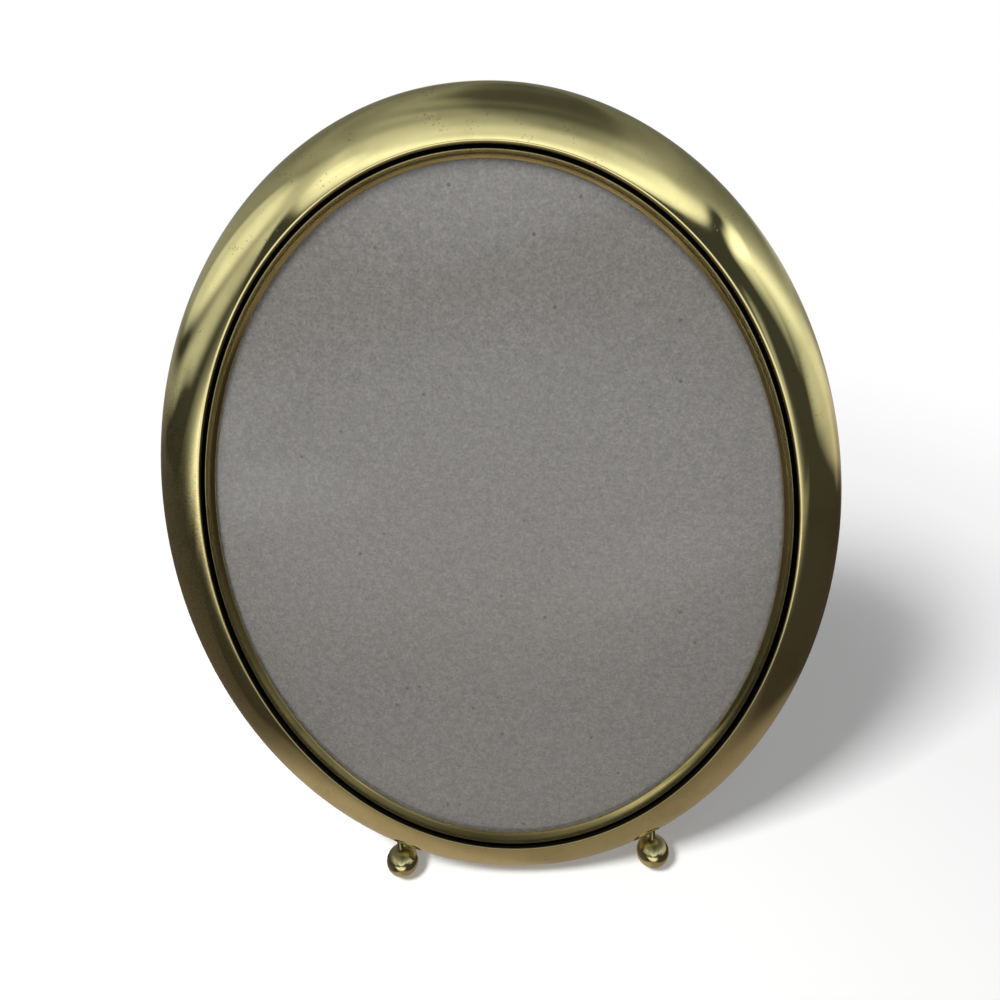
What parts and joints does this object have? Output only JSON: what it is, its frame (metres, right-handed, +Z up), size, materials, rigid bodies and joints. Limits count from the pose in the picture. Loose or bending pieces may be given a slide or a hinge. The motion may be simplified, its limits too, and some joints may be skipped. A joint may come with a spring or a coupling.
{
  "type": "oval picture frame",
  "caption": "Free-standing oval table frame: domed polished brass ring on ball feet, with glass, a chipboard insert, and a velvet back with a folding easel strut.",
  "frame": {"origin": "on the table, halfway from front to back and from left to right", "axes": "X to the right as seen from the front, front faces -Y, Z up"},
  "size_m": [0.2213, 0.1002, 0.2618],
  "materials": {
    "polished_brass": "polished and lacquered",
    "brass_hardware": "satin",
    "plated_steel": "brass plated, satin",
    "glass": "clear",
    "grey_chipboard": "matte, finely flecked",
    "corrugated_card": "matte",
    "dark_board": "matte, paper faced",
    "velvet": "short pile"
  },
  "bodies": {
    "frame": {"front_moulding": "polished_brass", "sight_liner": "polished_brass", "ball_foot_left": "polished_brass", "ball_foot_right": "polished_brass", "foot_block_left": "brass_hardware", "foot_block_right": "brass_hardware", "back_ring": "plated_steel", "hinge_board_leaf": "plated_steel", "hinge_pin": "plated_steel", "board_rivets": "brass_hardware", "button_rivets": "brass_hardware", "button_washers": "brass_hardware", "glass_pane": "glass", "filler_card": "grey_chipboard", "spacer_pad": "corrugated_card", "back_board": "dark_board", "back_cover": "velvet"},
    "strut": {"easel_strut": "dark_board", "strut_cover": "velvet", "hinge_strut_leaf": "plated_steel", "strut_rivets": "brass_hardware"},
    "button_upper_left": {"turn_button_upper_left": "brass_hardware"},
    "button_upper_right": {"turn_button_upper_right": "brass_hardware"},
    "button_lower_left": {"turn_button_lower_left": "brass_hardware"},
    "button_lower_right": {"turn_button_lower_right": "brass_hardware"}
  },
  "joints": [
    {"name": "strut_fold", "type": "hinge", "parent": "frame", "child": "strut", "pos_m": [0, 0.01107, 0.16376], "axis": [-1, 0, 0], "range_deg": [0, 30]},
    {"name": "button_upper_left_turn", "type": "hinge", "parent": "frame", "child": "button_upper_left", "pos_m": [-0.06492, 0.0261, 0.22191], "axis": [0, -0.9563, 0.2924], "range_deg": [-95, 95]},
    {"name": "button_upper_right_turn", "type": "hinge", "parent": "frame", "child": "button_upper_right", "pos_m": [0.06492, 0.0261, 0.22191], "axis": [0, -0.9563, 0.2924], "range_deg": [-95, 95]},
    {"name": "button_lower_left_turn", "type": "hinge", "parent": "frame", "child": "button_lower_left", "pos_m": [-0.06492, -0.02945, 0.04021], "axis": [0, -0.9563, 0.2924], "range_deg": [-95, 95]},
    {"name": "button_lower_right_turn", "type": "hinge", "parent": "frame", "child": "button_lower_right", "pos_m": [0.06492, -0.02945, 0.04021], "axis": [0, -0.9563, 0.2924], "range_deg": [-95, 95]}
  ]
}
